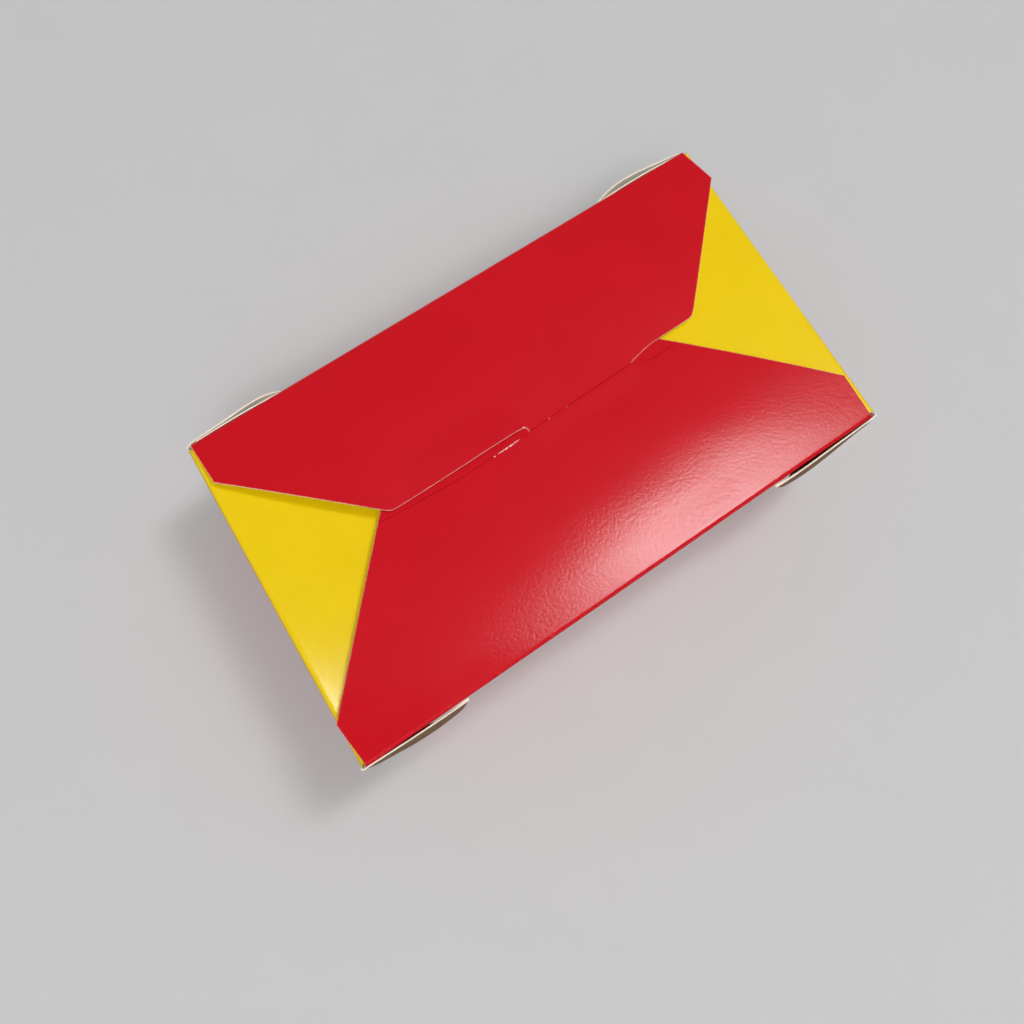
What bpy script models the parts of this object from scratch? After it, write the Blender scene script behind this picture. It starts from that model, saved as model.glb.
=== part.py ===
"""Shut takeaway box folded from one sheet of paperboard.

A tray with leaning walls carries four webbed corners, folded flat against the outside of its
long walls, and four top flaps: two end flaps folded in first, a lower flap with a scored slit,
and an upper flap whose tongue is tucked into that slit. The box is a little racked, as a light
carton is once it has been handled, so its top is a parallelogram over a rectangular base.

Metres, +Z up, +X along the long sides. The origin is on the table, under the middle of the base.
The "far" side is at +Y and carries the upper flap; the "near" side is at -Y and carries the lower.
"""

import math

import bmesh
import bpy

# The tray, measured over its folded edges.
LENGTH = 0.200
WIDTH = 0.1149
HEIGHT = 0.058
WALL_LEAN = math.radians(8.0)
RACK = math.radians(4.5)
BOARD = 0.00045
FOLD_RADIUS = 0.0012
CORNER_RADIUS = 0.0010
WALL_BOW = 0.0008

# The end flaps hinge down a little from their folds, until the long flaps hide them.
END_FLAP_SINK = 0.0030
END_FLAP_HIDDEN_DEPTH = 0.050

# The long flaps: square shoulders at the fold, then slanted sides up to the free edge.
FLAP_SHOULDER = 0.0148
FLAP_SLANT = math.radians(44.5)
FLAP_START = 0.0009
FLAP_ROOT_DEPTH = 0.0080
FLAP_RIM = 0.0030
RIM_STEP = 0.0002

UPPER_LEFT = -0.0995
UPPER_RIGHT = 0.1003
UPPER_REACH = 0.0543
UPPER_CROWN = 0.0013
UPPER_EDGE_RISE = 0.0012

LOWER_LEFT = -0.0990
LOWER_RIGHT = 0.1000
SCORE_DEPTH = 0.0574
LOWER_CROWN = 0.0009
LOWER_EDGE_RISE = 0.0004
LIP_WIDTH = 0.0160
LIP_DROP = 0.0014

# The tongue leaves the upper flap's free edge between two fillets of different size.
TONGUE_LEFT = -0.0076
TONGUE_RIGHT = 0.0345
TONGUE_REACH = 0.0574
TONGUE_DIP = 0.0012
LEFT_FILLET = 0.0012
RIGHT_FILLET = 0.0100

# Each folded web: its end of the box, its side, its length along the top edge, how far its outer
# face stands off the wall at the top edge and how much further it swells below.
WEBS = (
    ("far_left", -1, 1, 0.0350, 0.0027, 0.0008),
    ("far_right", 1, 1, 0.0380, 0.0029, 0.0008),
    ("near_right", 1, -1, 0.0425, 0.0020, 0.0018),
    ("near_left", -1, -1, 0.0365, 0.0014, 0.0020),
)
WEB_TOP_GAP = 0.0006
WEB_FOOT = 0.05
WEB_ROOT = 0.0020

LONG_SIDE_STEPS = 16
SHORT_SIDE_STEPS = 10
ARC_STEPS = 3
WALL_STEPS = 6
SLANT_STEPS = 6
FREE_EDGE_STEPS = 8
FLAP_ROWS = 10
WEB_COLUMNS = 12
WEB_ROWS = 8
MERGE = 1e-6

PRINT_RED = (0.60, 0.012, 0.018, 1.0)
PRINT_ROUGHNESS = 0.35


def clear_scene():
    """Remove every object that is in the scene."""
    for old in list(bpy.data.objects):
        bpy.data.objects.remove(old, do_unlink=True)


def mix(start, end, steps):
    """Evenly spaced numbers from start to end, both included."""
    return [start + (end - start) * i / steps for i in range(steps + 1)]


def rack_shift(y, z):
    """Sideways drift of a point: none at the base, in step with y at the height of the top."""
    return math.tan(RACK) * y * z / HEIGHT


def fillet(before, corner, after, radius, steps):
    """Points of the arc that rounds the corner of a path in the (outset, height) plane."""
    ax, az = before[0] - corner[0], before[1] - corner[1]
    bx, bz = after[0] - corner[0], after[1] - corner[1]
    la, lb = math.hypot(ax, az), math.hypot(bx, bz)
    ax, az, bx, bz = ax / la, az / la, bx / lb, bz / lb
    half = math.acos(ax * bx + az * bz) / 2
    mx, mz = ax + bx, az + bz
    lm = math.hypot(mx, mz)
    cx = corner[0] + mx / lm * radius / math.sin(half)
    cz = corner[1] + mz / lm * radius / math.sin(half)
    run = radius / math.tan(half)
    first = math.atan2(corner[1] + az * run - cz, corner[0] + ax * run - cx)
    last = math.atan2(corner[1] + bz * run - cz, corner[0] + bx * run - cx)
    turn = (last - first + math.pi) % (2 * math.pi) - math.pi
    return [
        (cx + radius * math.cos(first + turn * i / steps), cz + radius * math.sin(first + turn * i / steps))
        for i in range(steps + 1)
    ]


def wall_outset(z):
    """How far the wall stands inside (negative) the outline of the top at height z."""
    return -(HEIGHT - z) * math.tan(WALL_LEAN)


def outline(outset, z):
    """One closed ring round the tray: a rectangle with rounded corners, bowed sides and the rack."""
    half_l, half_w = LENGTH / 2 + outset, WIDTH / 2 + outset
    r = CORNER_RADIUS
    bow = WALL_BOW * math.sin(math.pi * z / HEIGHT)
    ring = []
    corners = (
        (half_l - r, half_w - r, 0.0, LONG_SIDE_STEPS),
        (-half_l + r, half_w - r, 0.5 * math.pi, SHORT_SIDE_STEPS),
        (-half_l + r, -half_w + r, math.pi, LONG_SIDE_STEPS),
        (half_l - r, -half_w + r, 1.5 * math.pi, SHORT_SIDE_STEPS),
    )
    for i, (cx, cy, start, steps) in enumerate(corners):
        for angle in mix(start, start + 0.5 * math.pi, ARC_STEPS):
            ring.append((cx + r * math.cos(angle), cy + r * math.sin(angle)))
        nx, ny, along, _ = corners[(i + 1) % 4]
        normal = (math.cos(along), math.sin(along))
        x0, y0 = ring[-1]
        x1, y1 = nx + r * normal[0], ny + r * normal[1]
        for t in mix(0.0, 1.0, steps)[1:-1]:
            push = bow * 4 * t * (1 - t)
            ring.append((x0 + (x1 - x0) * t + normal[0] * push, y0 + (y1 - y0) * t + normal[1] * push))
    return [(x + rack_shift(y, z), y, z) for x, y in ring]


def add_ring(bm, points):
    """Add one ring of vertices."""
    return [bm.verts.new(p) for p in points]


def bridge(bm, low, high):
    """Quads between two rings of the same length."""
    count = len(low)
    for i in range(count):
        j = (i + 1) % count
        bm.faces.new((low[i], low[j], high[j], high[i]))


def finish(bm, name):
    """Close a bmesh into an object whose faces point outwards."""
    bmesh.ops.remove_doubles(bm, verts=bm.verts, dist=MERGE)
    bmesh.ops.dissolve_degenerate(bm, edges=bm.edges, dist=MERGE)
    bmesh.ops.recalc_face_normals(bm, faces=bm.faces)
    mesh = bpy.data.meshes.new(name)
    bm.to_mesh(mesh)
    bm.free()
    obj = bpy.data.objects.new(name, mesh)
    bpy.context.scene.collection.objects.link(obj)
    return obj


def tray():
    """The filled tray: base, four leaning walls and the two end flaps sinking from their folds."""
    foot = (wall_outset(0.0), 0.0)
    rim = (0.0, HEIGHT)
    inward = WIDTH / 4
    base_arc = fillet((foot[0] - inward, 0.0), foot, rim, FOLD_RADIUS, ARC_STEPS)
    rim_arc = fillet(foot, rim, (-inward, HEIGHT), FOLD_RADIUS, ARC_STEPS)
    wall = [(wall_outset(z), z) for z in mix(base_arc[-1][1], rim_arc[0][1], WALL_STEPS)[1:-1]]
    bm = bmesh.new()
    rings = [add_ring(bm, outline(outset, z)) for outset, z in base_arc + wall + rim_arc]
    for low, high in zip(rings, rings[1:]):
        bridge(bm, low, high)
    bm.faces.new(list(reversed(rings[0])))
    # The sunk middle of the top: each point of the rim runs in to the nearest point of a rectangle.
    in_l, in_w = LENGTH / 2 - END_FLAP_HIDDEN_DEPTH, WIDTH / 2 - END_FLAP_HIDDEN_DEPTH
    floor = []
    for vert in rings[-1]:
        x, y, z = vert.co
        along = x - rack_shift(y, z)
        y_in = max(-in_w, min(in_w, y))
        x_in = max(-in_l, min(in_l, along))
        floor.append((x_in + rack_shift(y_in, z), y_in, HEIGHT - END_FLAP_SINK))
    inner = add_ring(bm, floor)
    bridge(bm, rings[-1], inner)
    bm.faces.new(inner)
    return finish(bm, "carton")


def side_limit(u, left, right, reach):
    """Depth to which a flap with shoulders and slanted sides goes at the place u along its fold."""
    from_side = min(u - left, right - u)
    return min(reach, FLAP_SHOULDER + from_side / math.tan(FLAP_SLANT))


def flap_columns(left, right, reach, extra):
    """Places along the fold where the flap's outline needs a column, with the middle filled in."""
    run = (reach - FLAP_SHOULDER) * math.tan(FLAP_SLANT)
    places = set(mix(left, left + run, SLANT_STEPS) + mix(right - run, right, SLANT_STEPS))
    places.update(mix(left + run, right - run, FREE_EDGE_STEPS))
    for edge, sign in ((left, 1), (right, -1)):
        places.update((edge + sign * FLAP_RIM, edge + sign * (FLAP_RIM + RIM_STEP)))
    places.update(extra)
    places = sorted(places)
    kept = [places[0]]
    for place in places[1:]:
        if place - kept[-1] > RIM_STEP / 2:
            kept.append(place)
    return kept


def upper_limit(u):
    """Depth of the upper flap at u: the tongue runs on past the free edge between two fillets."""
    edge = side_limit(u, UPPER_LEFT, UPPER_RIGHT, UPPER_REACH)
    drop = TONGUE_REACH - UPPER_REACH
    if TONGUE_LEFT <= u <= TONGUE_RIGHT:
        return TONGUE_REACH
    if TONGUE_LEFT - LEFT_FILLET < u < TONGUE_LEFT:
        away = (TONGUE_LEFT - u) / LEFT_FILLET
        return edge + drop * (1 - math.sqrt(1 - (1 - away) ** 2))
    if TONGUE_RIGHT < u < TONGUE_RIGHT + RIGHT_FILLET:
        away = (u - TONGUE_RIGHT) / RIGHT_FILLET
        return edge + drop * (1 - math.sqrt(1 - (1 - away) ** 2))
    return edge


def upper_height(u, d):
    """Outer face of the upper flap above the fold: crowned, and dipping at the tongue."""
    t = d / UPPER_REACH
    height = UPPER_CROWN * math.sin(math.pi * min(t, 1.0)) + UPPER_EDGE_RISE * min(1.0, 3 * t)
    if TONGUE_LEFT - LEFT_FILLET <= u <= TONGUE_RIGHT + RIGHT_FILLET and d > 0.8 * UPPER_REACH:
        into = (d - 0.8 * UPPER_REACH) / (TONGUE_REACH - 0.8 * UPPER_REACH)
        height -= TONGUE_DIP * into * into
    return height


def lower_limit(u):
    """Depth of the lower flap at u, up to the end of the lip beyond its score."""
    return side_limit(u, LOWER_LEFT, LOWER_RIGHT, SCORE_DEPTH + LIP_WIDTH)


def lower_height(u, d):
    """Outer face of the lower flap above the fold: crowned, with the lip bent down at the score."""
    t = min(d / SCORE_DEPTH, 1.0)
    height = LOWER_CROWN * math.sin(math.pi * t) + LOWER_EDGE_RISE * min(1.0, 3 * t)
    if d > SCORE_DEPTH:
        height -= LIP_DROP * (d - SCORE_DEPTH) / LIP_WIDTH
    return height


def flap(name, side, columns, limit, height, rows):
    """A long flap as a filled slab: a curved outer face over a root sunk into the tray.

    Only a thin rim is left along the shoulders, where the flap may stand past the end wall.
    """
    left, right = columns[0], columns[-1]
    fold_y = side * WIDTH / 2
    shift = rack_shift(fold_y, HEIGHT)
    bm = bmesh.new()
    top, root = [], []
    for u in columns:
        thin = min(u - left, right - u) < FLAP_RIM + RIM_STEP / 2
        deepest = limit(u)
        top_column, root_column = [], []
        for row in rows:
            d = FLAP_START + (deepest - FLAP_START) * row
            z = HEIGHT + height(u, d)
            low = z - BOARD if thin else HEIGHT - FLAP_ROOT_DEPTH
            top_column.append(bm.verts.new((u + shift, fold_y - side * d, z)))
            root_column.append(bm.verts.new((u + shift, fold_y - side * d, low)))
        top.append(top_column)
        root.append(root_column)
    last_c, last_r = len(columns) - 1, len(rows) - 1
    for i in range(last_c):
        for j in range(last_r):
            bm.faces.new((top[i][j], top[i + 1][j], top[i + 1][j + 1], top[i][j + 1]))
            bm.faces.new((root[i][j], root[i][j + 1], root[i + 1][j + 1], root[i + 1][j]))
        for j in (0, last_r):
            bm.faces.new((top[i][j], top[i + 1][j], root[i + 1][j], root[i][j]))
    for j in range(last_r):
        for i in (0, last_c):
            bm.faces.new((top[i][j], top[i][j + 1], root[i][j + 1], root[i][j]))
    return finish(bm, name)


def upper_flap():
    """The upper flap, hinged on the far fold, with the part of its tongue that shows."""
    bends = [1 - math.cos(angle) for angle in mix(0.0, math.pi / 2, 2 * ARC_STEPS)]
    left_arc = [TONGUE_LEFT - LEFT_FILLET * bend for bend in bends]
    right_arc = [TONGUE_RIGHT + RIGHT_FILLET * bend for bend in bends]
    columns = flap_columns(UPPER_LEFT, UPPER_RIGHT, UPPER_REACH, left_arc + right_arc)
    return flap("upper_flap", 1, columns, upper_limit, upper_height, mix(0.0, 1.0, FLAP_ROWS))


def lower_flap():
    """The lower flap, hinged on the near fold; a row of its grid lies on the score."""
    reach = SCORE_DEPTH + LIP_WIDTH
    run = (SCORE_DEPTH - FLAP_SHOULDER) * math.tan(FLAP_SLANT)
    at_score = [LOWER_LEFT + run, LOWER_RIGHT - run]
    columns = flap_columns(LOWER_LEFT, LOWER_RIGHT, reach, at_score)
    score_row = (SCORE_DEPTH - FLAP_START) / (reach - FLAP_START)
    rows = mix(0.0, score_row, FLAP_ROWS - 2) + [1.0]
    return flap("lower_flap", -1, columns, lower_limit, lower_height, rows)


def web(name, end, side, length, stand_off, swell):
    """A corner web folded in two against the long wall: a fan from the base corner to the rim.

    Columns run from the box corner to the folded free edge, rows from the base corner to the top.
    """
    foot_x = end * (LENGTH / 2 + wall_outset(0.0))
    bm = bmesh.new()
    outer, inner = [], []
    for s in mix(0.0, 1.0, WEB_COLUMNS):
        arch = math.sin(math.pi * min(1.0, 0.08 + 0.8 * s))
        outer_column, inner_column = [], []
        for r in mix(WEB_FOOT, 1.0, WEB_ROWS):
            z = (HEIGHT - WEB_TOP_GAP) * r
            x = foot_x + (end * (LENGTH / 2 - s * length) - foot_x) * r
            wall_y = WIDTH / 2 + wall_outset(z)
            out = BOARD + arch * (stand_off - BOARD) * min(1.0, 1.6 * r)
            out += swell * s * math.sin(math.pi * r) * (1.2 - 0.2 * s)
            y = side * (wall_y + out)
            back = side * (wall_y - WEB_ROOT)
            outer_column.append(bm.verts.new((x + rack_shift(y, z), y, z)))
            inner_column.append(bm.verts.new((x + rack_shift(back, z), back, z)))
        outer.append(outer_column)
        inner.append(inner_column)
    for i in range(WEB_COLUMNS):
        for j in range(WEB_ROWS):
            bm.faces.new((outer[i][j], outer[i + 1][j], outer[i + 1][j + 1], outer[i][j + 1]))
            bm.faces.new((inner[i][j], inner[i][j + 1], inner[i + 1][j + 1], inner[i + 1][j]))
        for j in (0, WEB_ROWS):
            bm.faces.new((outer[i][j], outer[i + 1][j], inner[i + 1][j], inner[i][j]))
    for j in range(WEB_ROWS):
        for i in (0, WEB_COLUMNS):
            bm.faces.new((outer[i][j], outer[i][j + 1], inner[i][j + 1], inner[i][j]))
    return finish(bm, "web_" + name)


def fuse(body, pieces):
    """Join the pieces to the body with one Boolean union, apply it and remove the pieces."""
    group = bpy.data.collections.new("folded_parts")
    bpy.context.scene.collection.children.link(group)
    for piece in pieces:
        group.objects.link(piece)
        bpy.context.scene.collection.objects.unlink(piece)
    union = body.modifiers.new("one_sheet", "BOOLEAN")
    union.operation = "UNION"
    union.operand_type = "COLLECTION"
    union.collection = group
    union.solver = "EXACT"
    depsgraph = bpy.context.evaluated_depsgraph_get()
    joined = bpy.data.meshes.new_from_object(body.evaluated_get(depsgraph))
    body.modifiers.clear()
    body.data = joined
    for piece in pieces:
        bpy.data.objects.remove(piece, do_unlink=True)
    bpy.data.collections.remove(group)


def printed_board():
    """Coated paperboard printed red."""
    material = bpy.data.materials.new("printed_board")
    material.use_nodes = True
    shader = material.node_tree.nodes["Principled BSDF"]
    shader.inputs["Base Color"].default_value = PRINT_RED
    shader.inputs["Roughness"].default_value = PRINT_ROUGHNESS
    shader.inputs["Metallic"].default_value = 0.0
    return material


clear_scene()
carton = tray()
fuse(carton, [lower_flap(), upper_flap()] + [web(*sizes) for sizes in WEBS])
carton.data.name = "carton"
carton.data.materials.clear()
carton.data.materials.append(printed_board())
carton.data.shade_smooth()
carton.data.set_sharp_from_angle(angle=math.radians(25))
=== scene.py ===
"""A shut takeaway box folded from one sheet of printed paperboard, flaps up on a pale table.

Metres, +Z up, +X along the long sides, +Y towards the side that carries the upper flap. Every panel
is a sheet of real thickness: a grid for its printed face, a second face one board behind it, and the
cut edge between the two.
"""

import math

import bpy
import numpy as np
from mathutils import Matrix, Vector


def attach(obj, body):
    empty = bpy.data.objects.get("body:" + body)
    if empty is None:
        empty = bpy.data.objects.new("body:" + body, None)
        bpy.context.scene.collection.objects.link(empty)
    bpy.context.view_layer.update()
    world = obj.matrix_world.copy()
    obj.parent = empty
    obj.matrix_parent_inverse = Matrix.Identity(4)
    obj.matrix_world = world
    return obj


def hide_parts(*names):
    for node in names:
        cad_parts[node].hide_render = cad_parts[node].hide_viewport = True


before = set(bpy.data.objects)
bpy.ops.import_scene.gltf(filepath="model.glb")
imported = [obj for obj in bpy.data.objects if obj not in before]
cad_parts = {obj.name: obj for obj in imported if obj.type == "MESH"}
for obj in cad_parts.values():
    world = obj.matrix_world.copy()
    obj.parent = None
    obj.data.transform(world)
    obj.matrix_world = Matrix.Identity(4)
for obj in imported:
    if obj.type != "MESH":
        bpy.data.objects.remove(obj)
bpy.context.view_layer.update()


# The bottom of the tray. One panel of bare board, scored along its four sides, where the walls turn
# up. The board springs a little, so its middle stands off the table.
LENGTH = 0.200
WIDTH = 0.1149
HEIGHT = 0.058
WALL_LEAN = math.radians(8.0)
FOLD_SWELL = 0.0003
BOARD = 0.00045
FOLD_RADIUS = 0.0012
BOTTOM_SPRING = 0.0003
BOTTOM_CELLS = (40, 24)
FOLD_STEPS = 10
WALL_ROWS = 22
MERGE = 1e-7
LEAST_SQUARE = 1e-18
SHARP_ANGLE = math.radians(44.0)
MM = 1000.0

KRAFT = (0.225, 0.135, 0.075, 1.0)
KRAFT_FLECK = (0.12, 0.062, 0.030, 1.0)
PAPER_WHITE = (0.80, 0.76, 0.69, 1.0)
PAPER_GREY = (0.66, 0.61, 0.53, 1.0)
EDGE_CREAM = (0.97, 0.85, 0.71, 1.0)
EDGE_TAN = (0.85, 0.67, 0.47, 1.0)
BOARD_SPECULAR = 0.2
CLOUD_SCALE = 260.0
CLOUD_DETAIL = 3.0
CLOUD_SEEN = (0.35, 0.75)
CLOUD_SHARE = 0.22
CLOUD_HEIGHT = 0.6
FIBRE_SCALE = 2400.0
FIBRE_DETAIL = 2.0
FIBRE_SEEN = (0.52, 0.72)
FIBRE_DRAWN = (0.22, 1.0, 1.0)


def wall_outset(z):
    """How far a wall stands outside (positive) the outline of the top at height z: it leans in, and
    its folds swell a little past the outline."""
    return FOLD_SWELL - (HEIGHT - z) * math.tan(WALL_LEAN)


def fold_arc(before, corner, after):
    """Arc that rounds a fold in a section: its centre is on the bisector at radius / sin(half angle),
    and its rows turn evenly from one leg to the other."""
    legs = [np.subtract(leg, corner) for leg in (before, after)]
    first, last = [leg / np.linalg.norm(leg) for leg in legs]
    half = math.acos(first @ last) / 2
    middle = first + last
    centre = corner + middle / np.linalg.norm(middle) * FOLD_RADIUS / math.sin(half)
    run = FOLD_RADIUS / math.tan(half)
    turn = math.pi - 2 * half
    start, end = corner + first * run - centre, corner + last * run - centre
    t = np.linspace(0.0, 1.0, FOLD_STEPS + 1)[:, None]
    return centre + (np.sin((1 - t) * turn) * start + np.sin(t * turn) * end) / math.sin(turn)


def wall_section(top, rise):
    """Section of a wall as rows of (outset, height): out of the bottom's plane round the lower fold,
    up the leaning wall, and round the upper fold into a flap that starts with the slope rise."""
    foot, rim = (wall_outset(0.0), 0.0), (wall_outset(top), top)
    lower = fold_arc((foot[0] - 1.0, 0.0), foot, rim)
    upper = fold_arc(foot, rim, (rim[0] - 1.0, rim[1] + rise))
    z = np.linspace(lower[-1, 1], upper[0, 1], WALL_ROWS + 2)[1:-1]
    return np.concatenate((lower, np.column_stack((wall_outset(z), z)), upper))


def distance_to_line(points, line):
    """Distance of each point to a line of short segments: to the nearest point of each segment, kept
    between its ends, and the least of those."""
    start, run = line[:-1], np.diff(line, axis=0)
    squares = np.maximum(np.sum(run * run, axis=1), LEAST_SQUARE)
    along = (points @ run.T - np.sum(start * run, axis=1)) / squares
    along = np.clip(along, 0.0, 1.0)
    away = sum((points[:, k, None] - start[:, k] - along * run[:, k]) ** 2 for k in range(3))
    return np.sqrt(away.min(axis=1))


def nearest(points, lines):
    """Distance of each point to the nearest of several lines, or 1 m where there is none."""
    far = np.full(len(points), 1.0)
    return np.min([far] + [distance_to_line(points, line) for line in lines], axis=0)


def board_piece(name, grids, materials, cut_lines=(), fold_lines=()):
    """Make a sheet of board from grids of its printed face.

    Grids that share a row or a column are sewn there. The back is the same mesh, moved one thickness
    against the normals, and the cut edge joins the two along every open border. Two values go with
    each point: its distance to a cut edge, in mm, and how near it is to a fold, from 0 to 1.
    """
    middle = np.array((0.0, 0.0, HEIGHT / 2))
    quads, first = [], 0
    for grid in grids:
        rows, columns = grid.shape[:2]
        number = first + np.arange(rows * columns).reshape(rows, columns)
        own = np.stack((number[:-1, :-1], number[:-1, 1:], number[1:, 1:], number[1:, :-1]), axis=-1)
        i, j = rows // 2, columns // 8
        normal = np.cross(grid[i, j + 1] - grid[i, j], grid[i + 1, j] - grid[i, j])
        if normal @ (grid[i, j] - middle) < 0:
            own = own[..., ::-1]
        quads.append(own.reshape(-1, 4))
        first += rows * columns
    points = np.concatenate([grid.reshape(-1, 3) for grid in grids])
    quads = np.concatenate(quads)
    _, kept, number = np.unique(np.round(points / MERGE), axis=0, return_index=True, return_inverse=True)
    points, quads = points[kept], number.ravel()[quads]

    one_way, other_way = points[quads[:, 2]] - points[quads[:, 0]], points[quads[:, 3]] - points[quads[:, 1]]
    face_normals = np.cross(one_way, other_way)
    normals = np.zeros_like(points)
    for corner in range(4):
        np.add.at(normals, quads[:, corner], face_normals)
    normals /= np.linalg.norm(normals, axis=1)[:, None]
    back = points - normals * BOARD
    back[:, 2] = np.maximum(back[:, 2], 0.0)

    edges = quads[:, [0, 1, 1, 2, 2, 3, 3, 0]].reshape(-1, 2)
    _, once, count = np.unique(np.sort(edges, axis=1), axis=0, return_index=True, return_counts=True)
    border = edges[once[count == 1]]
    total = len(points)
    rim = np.column_stack((border[:, 1], border[:, 0], border[:, 0] + total, border[:, 1] + total))

    mesh = bpy.data.meshes.new(name)
    mesh.from_pydata(np.concatenate((points, back)), [], np.concatenate((quads, quads[:, ::-1] + total, rim)))
    for label, values in (
        ("edge_mm", nearest(points, cut_lines) * MM),
        ("fold", np.exp(-((nearest(points, fold_lines) / FOLD_RADIUS) ** 2))),
    ):
        attribute = mesh.attributes.new(label, "FLOAT", "POINT")
        attribute.data.foreach_set("value", np.tile(values, 2).astype(np.float32))
    for material in materials:
        mesh.materials.append(material)
    which = np.repeat((0, 1, 2), (len(quads), len(quads), len(rim)))
    mesh.polygons.foreach_set("material_index", which.astype(np.int32))
    mesh.shade_smooth()
    mesh.set_sharp_from_angle(angle=SHARP_ANGLE)
    piece = bpy.data.objects.new(name, mesh)
    bpy.context.scene.collection.objects.link(piece)
    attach(piece, "root")
    return piece


def place(tree, kind, inputs, **settings):
    """Add a node: sockets given for its inputs are linked, and values are set on them."""
    node = tree.nodes.new(kind)
    for name, value in settings.items():
        setattr(node, name, value)
    for key, value in inputs.items():
        if isinstance(value, bpy.types.NodeSocket):
            tree.links.new(value, node.inputs[key])
        else:
            node.inputs[key].default_value = value
    return node


def reckon(tree, operation, first, second=0.0):
    """Output of a Math node."""
    return place(tree, "ShaderNodeMath", {0: first, 1: second}, operation=operation).outputs[0]


def ramp(tree, value, low, high, start=0.0, end=1.0):
    """Output of a Map Range node: value from low to high becomes start to end, smoothly."""
    inputs = {"Value": value, "From Min": low, "From Max": high, "To Min": start, "To Max": end}
    return place(tree, "ShaderNodeMapRange", inputs, interpolation_type="SMOOTHSTEP").outputs[0]


def noise(tree, spot, scale, detail):
    """Value of a Noise Texture, mostly from 0.3 to 0.7."""
    return place(tree, "ShaderNodeTexNoise", {"Vector": spot, "Scale": scale, "Detail": detail}).outputs[0]


def blend(tree, share, first, second):
    """Colour between two others: 0 gives the first and 1 the second."""
    return place(tree, "ShaderNodeMix", {0: share, 6: first, 7: second}, data_type="RGBA").outputs[2]


def effect_group(name, inputs, outputs):
    """Empty shader group with named sockets: its tree, what it is given, and what it makes."""
    tree = bpy.data.node_groups.new(name, "ShaderNodeTree")
    for label, kind in inputs:
        tree.interface.new_socket(label, in_out="INPUT", socket_type=kind)
    for label, kind in outputs:
        tree.interface.new_socket(label, in_out="OUTPUT", socket_type=kind)
    return tree, tree.nodes.new("NodeGroupInput").outputs, tree.nodes.new("NodeGroupOutput").inputs


def paper_fibre_group():
    """Pulp: clouds where the sheet formed unevenly, and short dark fibres drawn out along X."""
    tree, given, made = effect_group(
        "paper_fibre",
        [("Sheet", "NodeSocketColor"), ("Fibre", "NodeSocketColor"), ("Fibre Share", "NodeSocketFloat")],
        [("Color", "NodeSocketColor"), ("Height", "NodeSocketFloat")],
    )
    on = place(tree, "ShaderNodeTexCoord", {}).outputs["Object"]
    drawn = place(tree, "ShaderNodeMapping", {"Vector": on, "Scale": FIBRE_DRAWN}).outputs[0]
    cloud = noise(tree, on, CLOUD_SCALE, CLOUD_DETAIL)
    strand = noise(tree, drawn, FIBRE_SCALE, FIBRE_DETAIL)
    share = reckon(tree, "MULTIPLY", ramp(tree, strand, *FIBRE_SEEN), given["Fibre Share"])
    share = reckon(tree, "ADD", share, ramp(tree, cloud, *CLOUD_SEEN, 0.0, CLOUD_SHARE))
    tree.links.new(blend(tree, share, given["Sheet"], given["Fibre"]), made["Color"])
    height = reckon(tree, "ADD", reckon(tree, "MULTIPLY", cloud, CLOUD_HEIGHT), strand)
    tree.links.new(height, made["Height"])
    return tree


def board_material(name, sheet, fibre, share, roughness, relief):
    """Uncoated board: the pulp's colours, with a matte surface roughened by its fibres."""
    material = bpy.data.materials.new(name)
    material.use_nodes = True
    tree = material.node_tree
    shader = tree.nodes["Principled BSDF"]
    shader.inputs["Roughness"].default_value = roughness
    shader.inputs["Specular IOR Level"].default_value = BOARD_SPECULAR
    pulp = place(tree, "ShaderNodeGroup", {}, node_tree=paper_fibre)
    pulp.inputs["Sheet"].default_value = sheet
    pulp.inputs["Fibre"].default_value = fibre
    pulp.inputs["Fibre Share"].default_value = share
    bump = place(tree, "ShaderNodeBump", {"Height": pulp.outputs["Height"], "Distance": relief})
    tree.links.new(pulp.outputs["Color"], shader.inputs["Base Color"])
    tree.links.new(bump.outputs[0], shader.inputs["Normal"])
    return material


paper_fibre = paper_fibre_group()
bare_outside = board_material("bare_outside", KRAFT, KRAFT_FLECK, share=0.55, roughness=0.82, relief=0.00003)
white_inside = board_material(
    "white_inside", PAPER_WHITE, PAPER_GREY, share=0.35, roughness=0.7, relief=0.00002
)
cut_edge = board_material("cut_edge", EDGE_CREAM, EDGE_TAN, share=0.4, roughness=0.85, relief=0.00003)


def bottom_panel():
    """Rectangle between the lower folds, lifted by spring * (1 - p^2)(1 - q^2) at its shares p, q."""
    outset = wall_section(HEIGHT, 0.0)[0, 0]
    p = np.linspace(-1.0, 1.0, BOTTOM_CELLS[0] + 1)[None, :]
    q = np.linspace(-1.0, 1.0, BOTTOM_CELLS[1] + 1)[:, None]
    x = (LENGTH / 2 + outset) * p + 0.0 * q
    y = (WIDTH / 2 + outset) * q + 0.0 * p
    return np.stack((x, y, BOTTOM_SPRING * (1 - p * p) * (1 - q * q)), axis=-1)


tray_bottom = board_piece(
    "tray_bottom",
    [bottom_panel()],
    (bare_outside, white_inside, cut_edge),
)
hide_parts("carton")


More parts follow.
